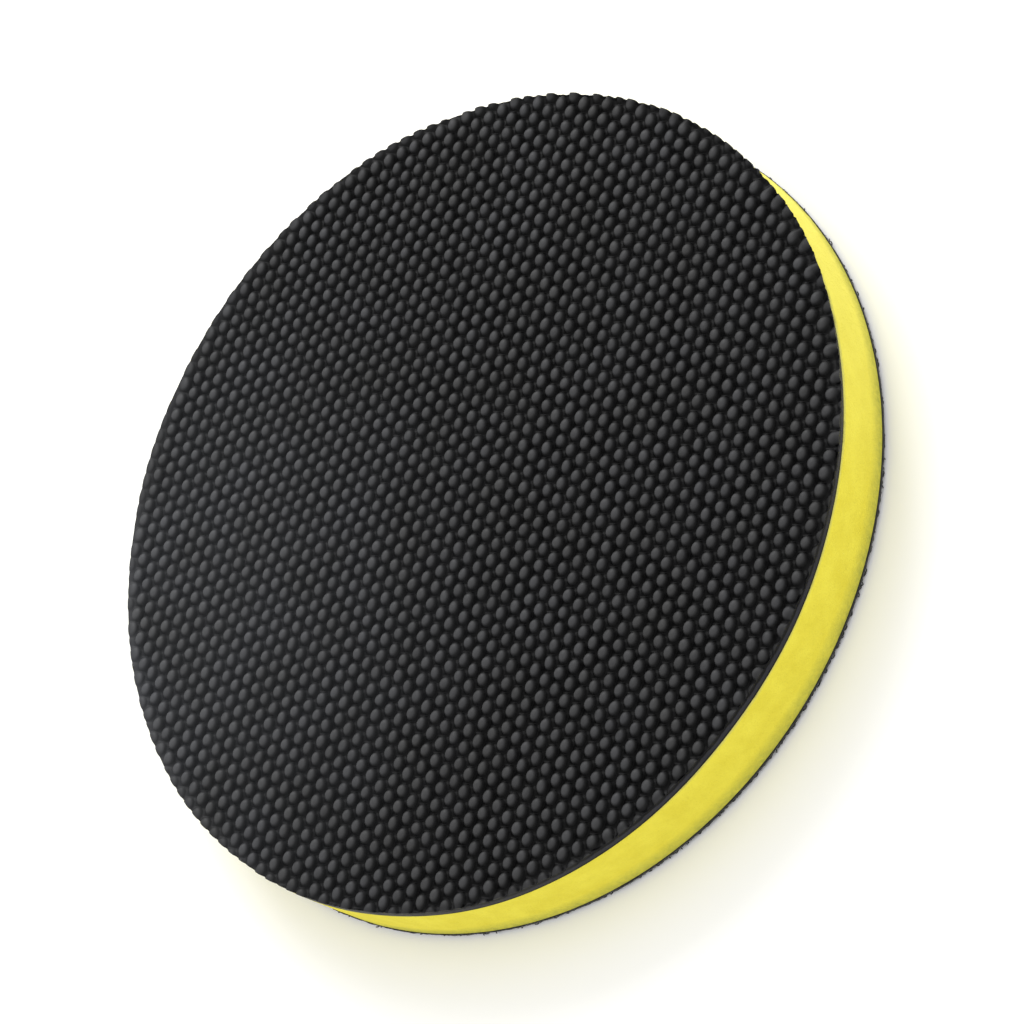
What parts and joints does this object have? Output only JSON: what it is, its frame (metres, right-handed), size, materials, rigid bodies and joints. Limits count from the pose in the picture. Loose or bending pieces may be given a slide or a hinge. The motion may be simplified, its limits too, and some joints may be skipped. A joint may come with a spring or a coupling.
{
  "type": "machine polishing pad",
  "caption": "Round foam pad for a car polishing machine, with a pillow-textured rubber face sheet and a loop cloth back that fastens to a hook-faced plate.",
  "frame": {"origin": "centre of the loop cloth's fastening face, at the loop tips", "axes": "+Z along the pad's axis, from the machine side to the textured working face; +X along a row of the face's raised texture"},
  "size_m": [0.15, 0.15, 0.0163],
  "materials": {
    "face_rubber": "moulded black polymer rubber, satin",
    "foam": "fine open-cell polyurethane foam, yellow, matt",
    "glue": "melted film, satin",
    "loop_cloth": "knitted nylon ground cloth, black, matt",
    "loop_yarn": "nylon loop pile, black, slight sheen"
  },
  "bodies": {
    "backing": {"loop_pile": "loop_yarn", "loop_ground_cloth": "loop_cloth", "backing_glue_film": "glue", "foam_core": "foam"},
    "face": {"face_glue_film": "glue", "face_sheet": "face_rubber"}
  },
  "joints": [
    {"name": "face_press", "type": "slide", "parent": "backing", "child": "face", "axis": [0, 0, -1], "range_m": [0, 0.004], "stiffness_N_per_m": 25000, "deforming": ["foam_core"]}
  ]
}
